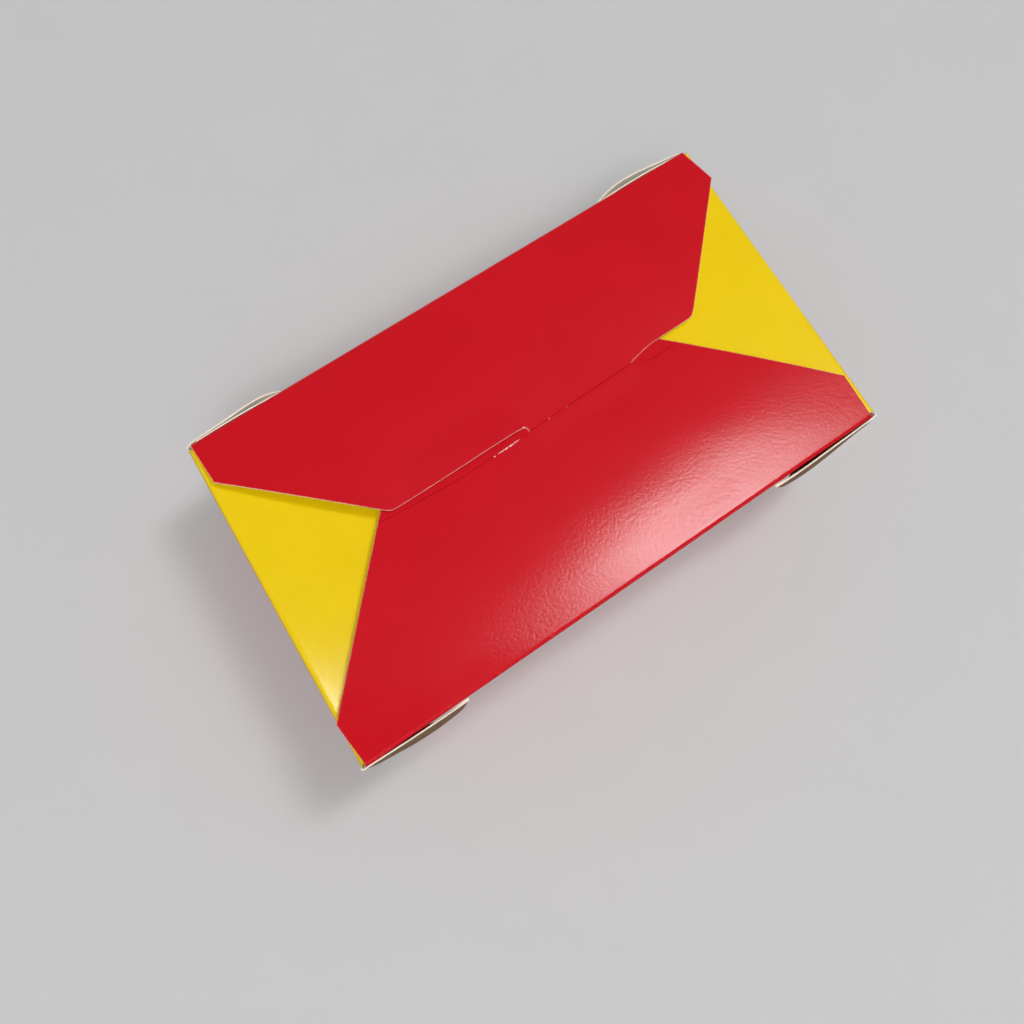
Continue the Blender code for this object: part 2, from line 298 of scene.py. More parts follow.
# The near wall and the lower flap. One run of coated board, printed red, that turns over the near
# fold. The flap is scored along its middle line, with a slit in the score, and a lip beyond it.
RACK = math.radians(4.5)
WALL_BOW = 0.0008
WALL_END = FOLD_STEPS + 1 + WALL_ROWS
CORNER_EASE = 0.0006
SIDE_TUCK = 0.0005
LOWER_LEFT = dict(end=-0.0996, shoulder=0.0149, slant=math.radians(44.2), taper=0.0008)
LOWER_RIGHT = dict(end=0.1000, shoulder=0.0163, slant=math.radians(43.7), taper=0.0013)
LOWER_CROWN = 0.0009
LOWER_EDGE_RISE = 0.0004
SCORE_DEPTH = 0.0574
SCORE_PLACES = (
    -0.0996, -0.0530, -0.0410, -0.0300, -0.0200, -0.0040, 0.0014, 0.0300, 0.0440, 0.0465, 0.0493, 0.100,
)
SCORE_DEPTHS = (
    0.0622, 0.0598, 0.0587, 0.0581, 0.0579, 0.0582, 0.0585, 0.0591, 0.0594, 0.0590, 0.0569, 0.0569,
)
SCORE_GROOVE = 0.00022
SCORE_HALF_WIDTH = 0.00014
LIP_WIDTH = 0.0160
LIP_DROP = 0.0014
LIP_LEAST = 0.00005
LIP_FIRST_SHARE = 0.4
SLIT_LEFT = 0.0010
SLIT_RIGHT = 0.0445
SLIT_GAP = 0.00035
SLIT_PUSH = 0.0011
SLIT_LIFT = 0.0003
SLIT_LIFT_DEPTH = 0.008
SLIT_EASE = 0.004
SLIT_FADE = 0.004
SLIT_ROUND = 0.35
DOG_EAR_ALONG, DOG_EAR_DEEP = 0.034, 0.021
DOG_EAR_TILT = 0.030
DOG_EAR_EASE = 0.03
DOG_EAR_START = 0.010
WANDER = 0.00010
WANDER_WAVES = 7
WANDER_LENGTHS = (0.018, 0.070)
WANDER_START = 0.012
LOWER_SEED = 11
COLUMN_STEP = 0.0014
FINE_STEP = 0.0003
END_STEPS = (0.0, 0.00015, 0.0004, 0.0008)
PLACE_DIGITS = 7
LOWER_FINE = (
    (-0.058, -0.050), (SLIT_LEFT - 0.002, SLIT_LEFT + 0.004), (0.040, 0.052), (0.057, 0.064),
)
PANEL_ROWS = (0.0, 0.96, 50)
PANEL_LAST_ROWS = (0.0014, 0.0007, SCORE_HALF_WIDTH, 0.0)
LIP_FIRST_ROWS = (0.0, 0.03)
LIP_ROWS = (0.06, 1.0, 18)

PRINT_RED = (0.585, 0.0035, 0.0110, 1.0)
WHITENED = (0.92, 0.60, 0.55, 1.0)
NOISE_SPAN = (0.3, 0.7)
TONE_SCALE = 60.0
GRAIN_SCALE = 950.0
RAGGED_SCALE = 2600.0
CLOUD_TONE = 0.015
RAGGED_TONE = (0.98, 1.02)
RAGGED_EDGE = 0.10
RAGGED_HEIGHT = 0.2
FRINGE_MM = (0.02, 0.20)
FRINGE_SHARE = 0.42
CRACK_SEEN = (0.62, 0.72)
CRACK_SHARE = 0.14
INK_ROUGHNESS = (0.31, 0.39)
BARE_ROUGHNESS = 0.4
PRINT_SPECULAR = 0.06
PRINT_RELIEF = 0.00003
COAT_WEIGHT = 0.40
COAT_ROUGHNESS = 0.09


def smoothstep(x):
    """0 below 0, 1 above 1, and 3x^2 - 2x^3 between them."""
    x = np.clip(x, 0.0, 1.0)
    return x * x * (3.0 - 2.0 * x)


def soft_positive(value, ease):
    """Value where it is positive and 0 elsewhere, with the bend rounded over about the width ease."""
    return ease * np.logaddexp(0.0, value / ease)


def rack_shift(y, z):
    """Sideways drift of the racked box: none at the base, in step with y at the height of the top."""
    return math.tan(RACK) * y * z / HEIGHT


def soft_least(first, second, ease):
    """Smaller of two values, with the corner between them rounded over about the width ease."""
    return second - soft_positive(second - first, ease)


def slanted_reach(u, left, right, reach):
    """Depth of a flap along its fold: a shoulder at either end, then the slanted sides, cut off at
    reach."""
    slants = [side["shoulder"] + abs(u - side["end"]) / math.tan(side["slant"]) for side in (left, right)]
    return soft_least(np.minimum(*slants), reach, CORNER_EASE)


def narrowed(u, d, left, right):
    """Places along the fold at the depth d: the shoulders run in by taper * (1 - d / shoulder)."""
    for side in (left, right):
        share = np.clip(u / side["end"], 0.0, 1.0) ** 4
        left_over = np.clip(1.0 - d / side["shoulder"], 0.0, 1.0)
        u = u - math.copysign(side["taper"], side["end"]) * share * left_over
    return u


def columns_along(left, right, fine):
    """Places along a fold: evenly spaced, with closer ones at both ends and in the ranges in fine."""
    left, right = left["end"], right["end"]
    even = np.linspace(left, right, round((right - left) / COLUMN_STEP) + 1)
    close = [np.arange(low, high, FINE_STEP) for low, high in fine]
    ends = np.array(END_STEPS)
    places = np.unique(np.round(np.concatenate([even, left + ends, right - ends, *close]), PLACE_DIGITS))
    return places[np.concatenate(([True], np.diff(places) > FINE_STEP / 4))]


def wander(u, d, seed):
    """Slow unevenness of a panel: a sum of sine waves of random heading, length and phase."""
    random = np.random.default_rng(seed)
    total = 0.0
    for _ in range(WANDER_WAVES):
        heading, phase = random.uniform(0.0, 2 * math.pi, 2)
        length = random.uniform(*WANDER_LENGTHS)
        across = u * math.cos(heading) + d * math.sin(heading)
        total = total + np.sin(2 * math.pi * across / length + phase) * length / WANDER_LENGTHS[1]
    return WANDER * total / math.sqrt(WANDER_WAVES) * smoothstep(d / WANDER_START)


def long_wall(side, u, rise):
    """Near or far wall, from the bottom to where its flap starts at the places u along the fold.
    Its ends run up the leaning corners and ease over to the flap's own ends round the upper fold."""
    section = wall_section(HEIGHT, rise)
    outset, z = section[:, 0], section[:, 1]
    turn = np.clip((np.arange(len(z)) - WALL_END) / (len(z) - 1 - WALL_END), 0.0, 1.0)
    half = LENGTH / 2 + outset - SIDE_TUCK * smoothstep(z / (2 * FOLD_RADIUS))
    left = (1 - turn) * -half + turn * u[0]
    right = (1 - turn) * half + turn * u[-1]
    share = (u - u[0]) / (u[-1] - u[0])
    bow = WALL_BOW * np.sin(math.pi * z / HEIGHT)[:, None] * 4 * share * (1 - share)
    x = left[:, None] + (right - left)[:, None] * share + rack_shift(side * WIDTH / 2, z)[:, None]
    y = side * (WIDTH / 2 + outset[:, None] + bow)
    return np.stack((x, y, z[:, None] + 0.0 * x), axis=-1)


def flap_grid(side, u, d, height, wall):
    """Flap in the plane of the top: u along the fold, d inwards from it, height above the fold. Its
    first row is the last one of the wall that carries it."""
    x = u + rack_shift(side * WIDTH / 2, HEIGHT) + 0.0 * d
    grid = np.stack((x, side * (WIDTH / 2 - d), HEIGHT + height), axis=-1)
    grid[0] = wall[-1]
    return grid


def score_line(u):
    """Depth of the score and slit at the places u: straight runs between the measured ones. The slit
    runs a little deeper than the score, which steps back where the slit ends on the right."""
    return np.interp(u, SCORE_PLACES, SCORE_DEPTHS)


def lower_height(u, d):
    """Lower flap above its fold: crown * sin(pi t) + rise * (1 - (1 - t)^2), less the lip's drop and the
    score's groove. Its edge is lifted over the tongue, and the near left corner bends down."""
    score = score_line(u)
    t = np.minimum(d / score, 1.0)
    height = LOWER_CROWN * np.sin(math.pi * t) + LOWER_EDGE_RISE * (1 - (1 - t) ** 2)
    height -= LIP_DROP * np.maximum(d - score, 0.0) / LIP_WIDTH
    above = smoothstep((u - SLIT_LEFT) / SLIT_EASE + 0.5) * smoothstep((SLIT_RIGHT - u) / SLIT_EASE + 0.5)
    groove = SCORE_GROOVE * np.maximum(1.0 - abs(d - score) / SCORE_HALF_WIDTH, 0.0)
    height += (SLIT_LIFT * smoothstep(1.0 - (score - d) / SLIT_LIFT_DEPTH) + groove) * above - groove
    beyond = 1.0 - (u - LOWER_LEFT["end"]) / DOG_EAR_ALONG - d / DOG_EAR_DEEP
    bent = soft_positive(beyond, DOG_EAR_EASE) * smoothstep(d / DOG_EAR_START)
    return height - DOG_EAR_TILT * DOG_EAR_DEEP / 2 * bent + wander(u, d, LOWER_SEED)


def coated_print_group():
    """Ink under a thin gloss coat: cloudy tone, fine grain, and paper showing where the coat has
    cracked along a fold or come off beside a cut edge."""
    tree, given, made = effect_group(
        "coated_print",
        [("Ink", "NodeSocketColor"), ("Paper", "NodeSocketColor"), ("Edge", "NodeSocketFloat"),
         ("Fold", "NodeSocketFloat")],
        [("Color", "NodeSocketColor"), ("Roughness", "NodeSocketFloat"), ("Height", "NodeSocketFloat")],
    )
    on = place(tree, "ShaderNodeTexCoord", {}).outputs["Object"]
    cloud = noise(tree, on, TONE_SCALE, CLOUD_DETAIL)
    grain = noise(tree, on, GRAIN_SCALE, FIBRE_DETAIL)
    ragged = noise(tree, on, RAGGED_SCALE, FIBRE_DETAIL)
    cloudy = ramp(tree, cloud, *NOISE_SPAN, -CLOUD_TONE, CLOUD_TONE)
    tone = reckon(tree, "ADD", cloudy, ramp(tree, ragged, *NOISE_SPAN, *RAGGED_TONE))
    ink = place(tree, "ShaderNodeVectorMath", {0: given["Ink"], "Scale": tone}, operation="SCALE").outputs[0]
    uneven = ramp(tree, ragged, *NOISE_SPAN, -RAGGED_EDGE, RAGGED_EDGE)
    reach = reckon(tree, "ADD", given["Edge"], uneven)
    fringe = ramp(tree, reach, *FRINGE_MM, FRINGE_SHARE, 0.0)
    crack = reckon(tree, "MULTIPLY", given["Fold"], ramp(tree, ragged, *CRACK_SEEN, 0.0, CRACK_SHARE))
    bare = reckon(tree, "MAXIMUM", fringe, crack)
    tree.links.new(blend(tree, bare, ink, given["Paper"]), made["Color"])
    smooth = ramp(tree, cloud, *NOISE_SPAN, *INK_ROUGHNESS)
    worn = reckon(tree, "ADD", smooth, reckon(tree, "MULTIPLY", bare, BARE_ROUGHNESS))
    tree.links.new(worn, made["Roughness"])
    height = reckon(tree, "ADD", grain, reckon(tree, "MULTIPLY", ragged, RAGGED_HEIGHT))
    tree.links.new(height, made["Height"])
    return tree


coated_print = coated_print_group()


def print_material(name, ink, paper):
    """Board printed in one ink under a gloss coat."""
    material = bpy.data.materials.new(name)
    material.use_nodes = True
    tree = material.node_tree
    shader = tree.nodes["Principled BSDF"]
    shader.inputs["Specular IOR Level"].default_value = PRINT_SPECULAR
    shader.inputs["Coat Weight"].default_value = COAT_WEIGHT
    shader.inputs["Coat Roughness"].default_value = COAT_ROUGHNESS
    edge = place(tree, "ShaderNodeAttribute", {}, attribute_name="edge_mm").outputs["Fac"]
    fold = place(tree, "ShaderNodeAttribute", {}, attribute_name="fold").outputs["Fac"]
    finish = place(tree, "ShaderNodeGroup", {}, node_tree=coated_print)
    finish.inputs["Ink"].default_value = ink
    finish.inputs["Paper"].default_value = paper
    tree.links.new(edge, finish.inputs["Edge"])
    tree.links.new(fold, finish.inputs["Fold"])
    bump = place(tree, "ShaderNodeBump", {"Height": finish.outputs["Height"], "Distance": PRINT_RELIEF})
    tree.links.new(finish.outputs["Color"], shader.inputs["Base Color"])
    tree.links.new(finish.outputs["Roughness"], shader.inputs["Roughness"])
    tree.links.new(bump.outputs[0], shader.inputs["Normal"])
    tree.links.new(bump.outputs[0], shader.inputs["Coat Normal"])
    return material


red_coat = print_material("red_coat", PRINT_RED, WHITENED)


def lower_flap_grids():
    """Near wall, lower flap up to its score, and the lip. The lip's first row is the flap's last one,
    except along the slit, where it is pushed down and away so that the board parts."""
    u = columns_along(LOWER_LEFT, LOWER_RIGHT, LOWER_FINE)
    rise = math.pi * LOWER_CROWN / SCORE_DEPTH + 2 * LOWER_EDGE_RISE / SCORE_DEPTH
    wall = long_wall(-1, narrowed(u, 0.0, LOWER_LEFT, LOWER_RIGHT), rise)
    start = WIDTH / 2 + wall[-1, 0, 1]
    limit = slanted_reach(u, LOWER_LEFT, LOWER_RIGHT, SCORE_DEPTH + LIP_WIDTH)
    score = score_line(u)
    last_rows = 1.0 - np.array(PANEL_LAST_ROWS) / SCORE_DEPTH
    share = np.concatenate((np.linspace(*PANEL_ROWS), last_rows))[:, None]
    d = start + (np.minimum(limit, score) - start) * share
    panel = flap_grid(-1, narrowed(u, d, LOWER_LEFT, LOWER_RIGHT), d, lower_height(u, d), wall)

    held = np.flatnonzero(limit > score + LIP_LEAST)
    share = np.concatenate((LIP_FIRST_ROWS, np.linspace(*LIP_ROWS)))[:, None]
    u, limit, score = u[held], limit[held], score[held]
    first = np.minimum(SCORE_HALF_WIDTH, LIP_FIRST_SHARE * (limit - score))
    d = np.concatenate((score[None], score + first + (limit - score - first) * share))
    along_slit = np.clip((u - SLIT_LEFT) / (SLIT_RIGHT - SLIT_LEFT), 0.0, 1.0)
    parted = np.sin(math.pi * along_slit) ** SLIT_ROUND * (along_slit > 0) * (along_slit < 1)
    fade = np.exp(-(d - d[0]) / SLIT_FADE)
    height = lower_height(u, d) - SLIT_PUSH * parted * fade
    lip = flap_grid(-1, u, d + SLIT_GAP * parted * fade, height, wall[:, held])
    lip[0] = panel[-1, held]
    lip[0, :, 1] += SLIT_GAP * parted
    lip[0, :, 2] -= SLIT_PUSH * parted
    cuts = [
        panel[:, 0], panel[-1, : held[0] + 1], lip[:, 0], lip[-1],
        lip[:, -1], panel[-1, held[-1] :], panel[:, -1],
    ]
    return wall, panel, lip, cuts


near_wall, lower_panel, lower_lip, lower_cuts = lower_flap_grids()
near_wall_and_lower_flap = board_piece(
    "near_wall_and_lower_flap",
    [near_wall, lower_panel, lower_lip],
    (red_coat, white_inside, cut_edge),
    cut_lines=lower_cuts,
    fold_lines=[near_wall[WALL_END + FOLD_STEPS // 2]],
)
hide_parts("carton")


# The far wall and the upper flap. Like the near pair, but the flap ends in a free edge, and a tongue
# cut in that edge is tucked down through the slit of the lower flap.
UPPER_LEFT = dict(end=-0.0995, shoulder=0.0154, slant=math.radians(46.0), taper=0.0002)
UPPER_RIGHT = dict(end=0.1003, shoulder=0.0146, slant=math.radians(45.0), taper=0.00175)
UPPER_REACH = 0.0543
UPPER_CROWN = 0.0006
UPPER_EDGE_RISE = 0.0016
UPPER_SEED = 23
FREE_EDGE_STEP = 0.0009
TONGUE_LEFT = -0.0076
TONGUE_RIGHT = 0.0345
TONGUE_HIDDEN = 0.0040
TONGUE_PULL, TONGUE_HOLD = 0.75, 0.035
TONGUE_DIP, TONGUE_BEND = 0.0006, 0.00022
HOOK_LIFT, HOOK_LIFT_HALF, HOOK_LIFT_DEPTH = 0.0008, 0.014, 0.014
LEFT_FILLET = 0.0012
RIGHT_FILLET = 0.0110
HOOK_BACK = 0.008
HOOK_START = 0.001
HOOK_RUN = 0.006
UPPER_FINE = (
    (TONGUE_LEFT - 0.0015, TONGUE_LEFT + 0.0006), (TONGUE_RIGHT - 0.0006, TONGUE_RIGHT + 0.006),
)
TONGUE_CUT = 0.00002
UPPER_ROWS = (0.0, 0.97, 60)
UPPER_LAST_ROWS = (0.98, 0.99, 0.996, 1.0)


def tongue_rise(u):
    """How far the free edge runs on towards the tongue, from 0 to 1: a quarter circle on either side,
    small on the left and wide on the right."""
    left = np.clip((TONGUE_LEFT - u) / LEFT_FILLET, 0.0, 1.0)
    right = np.clip((u - TONGUE_RIGHT) / RIGHT_FILLET, 0.0, 1.0)
    away = np.maximum(left, right)
    return 1.0 - np.sqrt(np.maximum(1.0 - (1.0 - away) ** 2, 0.0))


def tongue_bend(u):
    """Depth on the upper flap at which the tongue turns down, just short of the slit."""
    return WIDTH - score_line(u + 2 * rack_shift(WIDTH / 2, HEIGHT)) - TONGUE_BEND


def upper_limit(u):
    """Depth of the upper flap: shoulders, slanted sides, free edge, and tongue as far as its bend. The
    free edge is a little shorter right of the tongue."""
    edge = UPPER_REACH - FREE_EDGE_STEP * smoothstep((u - TONGUE_RIGHT) / RIGHT_FILLET)
    plain = slanted_reach(u, UPPER_LEFT, UPPER_RIGHT, edge)
    fillet = np.where(u < TONGUE_LEFT, LEFT_FILLET, tongue_bend(TONGUE_RIGHT) - edge)
    inside = (u >= TONGUE_LEFT) & (u <= TONGUE_RIGHT)
    return np.where(inside, tongue_bend(u), plain + fillet * tongue_rise(u))


def upper_height(u, d):
    """Upper flap above its fold: crown * sin(pi t) + rise * (1 - (1 - t)^2), both less near the tongue,
    which holds the flap down. The free edge curls up left of the tongue."""
    t = np.minimum(d / UPPER_REACH, 1.0)
    middle = (TONGUE_LEFT + TONGUE_RIGHT) / 2
    held = 1.0 - TONGUE_PULL * np.exp(-(((u - middle) / TONGUE_HOLD) ** 2))
    height = held * (UPPER_CROWN * np.sin(math.pi * t) + UPPER_EDGE_RISE * (1 - (1 - t) ** 2))
    curl = np.exp(-(((u - TONGUE_LEFT + HOOK_BACK) / HOOK_LIFT_HALF) ** 2))
    curl = curl * smoothstep((TONGUE_LEFT + HOOK_START - u) / HOOK_RUN)
    curl = curl * smoothstep((d - UPPER_REACH + HOOK_LIFT_DEPTH) / HOOK_LIFT_DEPTH)
    return height + HOOK_LIFT * curl + wander(u, d, UPPER_SEED)


def upper_flap_grids():
    """Far wall, upper flap with close columns where the tongue leaves the free edge, and the tongue's
    end, which drops through the slit and runs on under the lower flap."""
    u = columns_along(UPPER_LEFT, UPPER_RIGHT, UPPER_FINE)
    sides = [TONGUE_LEFT - TONGUE_CUT, TONGUE_LEFT, TONGUE_RIGHT, TONGUE_RIGHT + TONGUE_CUT]
    u = np.unique(np.concatenate((u, sides)))
    rise = math.pi * UPPER_CROWN / UPPER_REACH + 2 * UPPER_EDGE_RISE / UPPER_REACH
    wall = long_wall(1, narrowed(u, 0.0, UPPER_LEFT, UPPER_RIGHT), rise)
    start = WIDTH / 2 - wall[-1, 0, 1]
    rows = np.concatenate((np.linspace(*UPPER_ROWS), UPPER_LAST_ROWS))
    d = start + (upper_limit(u) - start) * rows[:, None]
    panel = flap_grid(1, narrowed(u, d, UPPER_LEFT, UPPER_RIGHT), d, upper_height(u, d), wall)

    inside = np.flatnonzero((u >= TONGUE_LEFT) & (u <= TONGUE_RIGHT))
    steps = ((0.0, 0.0, 0.0), (0.0, -TONGUE_BEND, -TONGUE_DIP), (0.0, -TONGUE_HIDDEN, -2 * TONGUE_DIP))
    tongue = np.array(steps)[:, None, :] + panel[-1, inside]
    cuts = [
        panel[:, 0], panel[-1, : inside[0] + 1], tongue[:, 0], tongue[-1], tongue[:, -1],
        panel[-1, inside[-1] :], panel[:, -1],
    ]
    return wall, panel, tongue, cuts


far_wall, upper_panel, tongue_end, upper_cuts = upper_flap_grids()
far_wall_and_upper_flap = board_piece(
    "far_wall_and_upper_flap",
    [far_wall, upper_panel, tongue_end],
    (red_coat, white_inside, cut_edge),
    cut_lines=upper_cuts,
    fold_lines=[far_wall[WALL_END + FOLD_STEPS // 2]],
)
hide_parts("carton")


# The torn fibres. Where the slit was punched and the tongue pushed in, the print has lifted in small
# flakes of pale paper: a row along the closed left end of the slit, and specks at the tongue.
TORN_ROW = (-0.0114, -0.0030)
TORN_COUNT = 18
TORN_SEED = 5
TORN_SPREAD = 0.0003
TORN_OFF = (-0.00005, 0.00025)
TORN_LENGTH, TORN_LENGTH_MORE = 0.0006, 0.0009
TORN_WIDTH, TORN_WIDTH_MORE = 0.00020, 0.00038
TORN_TURN = (-0.35, 0.15)
TORN_SPECKS = ((-0.0127, 0.0009, 0.0006), (0.0093, 0.0007, 0.0003), (0.0165, 0.0005, 0.0002))
HOOK_SPECK = (-0.0086, 0.0543, 0.0011, 0.0006)
FLAKE_SIDES = 9
FLAKE_THICK = 0.00012
FLAKE_SEED = 8
FLAKE_RAGGED = (0.55, 1.0)
FLAKE_LIFT = (0.6, 1.3)
FLAKE_TOP = 0.8
TORN_PINK = (0.90, 0.50, 0.48, 1.0)
TORN_WHITE = (0.94, 0.80, 0.77, 1.0)


def flakes(middles, lengths, widths, turns, seed):
    """Points and faces of small closed plates: a ragged ring on top and a wider one under it."""
    random = np.random.default_rng(seed)
    angle = np.linspace(0.0, 2 * math.pi, FLAKE_SIDES, endpoint=False)
    radius = random.uniform(*FLAKE_RAGGED, (len(middles), FLAKE_SIDES))
    along = radius * np.cos(angle) * lengths[:, None] / 2
    across = radius * np.sin(angle) * widths[:, None] / 2
    cosine, sine = np.cos(turns)[:, None], np.sin(turns)[:, None]
    x, y = along * cosine - across * sine, along * sine + across * cosine
    ring = np.stack((x, y, 0.0 * along), axis=-1)
    lift = np.array((0.0, 0.0, FLAKE_THICK)) * random.uniform(*FLAKE_LIFT, (len(middles), FLAKE_SIDES, 1))
    top = middles[:, None] + ring * FLAKE_TOP + lift
    low = middles[:, None] + ring - lift
    points = np.concatenate((top, low), axis=1).reshape(-1, 3)
    first = np.arange(len(middles))[:, None] * 2 * FLAKE_SIDES
    order = np.arange(FLAKE_SIDES)
    after = np.roll(order, -1)
    sides = np.stack((order + FLAKE_SIDES, after + FLAKE_SIDES, after, order), axis=-1)
    sides = (first[:, :, None] + sides).reshape(-1, 4)
    caps = np.concatenate((first + order, first + order[::-1] + FLAKE_SIDES))
    return points, sides.tolist() + caps.tolist()


def torn_places():
    """Middles, lengths, widths and headings of all flakes: the row, the specks, and the hook's."""
    random = np.random.default_rng(TORN_SEED)
    u = np.concatenate((np.linspace(*TORN_ROW, TORN_COUNT), [speck[0] for speck in TORN_SPECKS]))
    u[:TORN_COUNT] += random.uniform(-TORN_SPREAD, TORN_SPREAD, TORN_COUNT)
    d = score_line(u) - random.uniform(*TORN_OFF, len(u))
    x, y = u + rack_shift(-WIDTH / 2, HEIGHT), d - WIDTH / 2
    row = np.stack((x, y, HEIGHT + lower_height(u, d)), axis=-1)
    middle_first = 1.0 - abs(np.linspace(-1.0, 1.0, TORN_COUNT))
    lengths = TORN_LENGTH + TORN_LENGTH_MORE * middle_first
    lengths = np.concatenate((lengths, [speck[1] for speck in TORN_SPECKS]))
    widths = TORN_WIDTH + TORN_WIDTH_MORE * middle_first
    widths = np.concatenate((widths, [speck[2] for speck in TORN_SPECKS]))
    u, d, length, width = HOOK_SPECK
    height = HEIGHT + upper_height(np.array(u), np.array(d))
    hook = np.array((u + rack_shift(WIDTH / 2, HEIGHT), WIDTH / 2 - d, height))
    middles = np.concatenate((row, hook[None]))
    turns = random.uniform(*TORN_TURN, len(middles))
    return middles, np.append(lengths, length), np.append(widths, width), turns


torn_points, torn_faces = flakes(*torn_places(), FLAKE_SEED)
torn_mesh = bpy.data.meshes.new("torn_slit_fibres")
torn_mesh.from_pydata(torn_points, [], torn_faces)
torn_paper = board_material("torn_paper", TORN_WHITE, TORN_PINK, share=0.8, roughness=0.9, relief=0.00002)
torn_mesh.materials.append(torn_paper)
torn_slit_fibres = bpy.data.objects.new("torn_slit_fibres", torn_mesh)
bpy.context.scene.collection.objects.link(torn_slit_fibres)
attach(torn_slit_fibres, "root")


# The corner webs. Each is the board between a long wall and an end wall, folded in two on its
# diagonal and laid against the long wall: bare outside, two plies with a pocket between them.
CORNER_RADIUS = 0.0010
END_OUT = {-1: 0.0005, 1: 0.0008}
WEB_TOP_GAP = 0.0006
WEB_LEAST = 0.0014
WEB_TOP_ROWS = 3
PLY_GAP = 0.00004
ONE_PLY_OFF = 0.00055
TWO_PLIES_OFF = 0.00105
PLIES_RISE = 4
WALL_GAP = 0.00010
CORNER_OFF = 0.00030
CORNER_RUN = 0.0040
INNER_START = 0.0036
INNER_START_MOST = 0.5
PLY_LEAST = 0.0001
ARCH_START, ARCH_SPAN = 0.04, 0.92
ARCH_RISE = 1.6
SWELL_TURN = 0.7 * math.pi
SWELL_RISE = 3.0
TUCK_FROM = 0.93
SUNK_RUN = 0.35
WEB_COLUMNS = (8, 34, 10, 24)
WEBS = {
    "far_left": dict(end=-1, side=1, length=0.0350, off=0.0025, swell=0.0008, peak=0.78,
                     start_drop=0.0009, end_drop=0.0024, pressed=0.0, tuck=0.0, sunk=0.0),
    "far_right": dict(end=1, side=1, length=0.0380, off=0.0029, swell=0.0008, peak=0.72,
                      start_drop=0.0026, end_drop=0.0024, pressed=0.0, tuck=0.0, sunk=0.0),
    "near_right": dict(end=1, side=-1, length=0.0443, off=0.0014, swell=0.0015, peak=0.75,
                       start_drop=0.0002, end_drop=0.0003, pressed=1.0, tuck=0.0005, sunk=0.0035),
    "near_left": dict(end=-1, side=-1, length=0.0378, off=0.0011, swell=0.0019, peak=0.70,
                      start_drop=0.0002, end_drop=0.0003, pressed=1.0, tuck=0.0008, sunk=0.0035),
}


def web_rows():
    """Rows of (outset, height) of a web: those of the walls up to their upper fold, then straight on."""
    wall = wall_section(HEIGHT, 0.0)[: WALL_END + 1]
    z = np.linspace(wall[-1, 1], HEIGHT - WEB_TOP_GAP, WEB_TOP_ROWS + 1)[1:]
    return np.concatenate((wall, np.column_stack((wall_outset(z), z))))


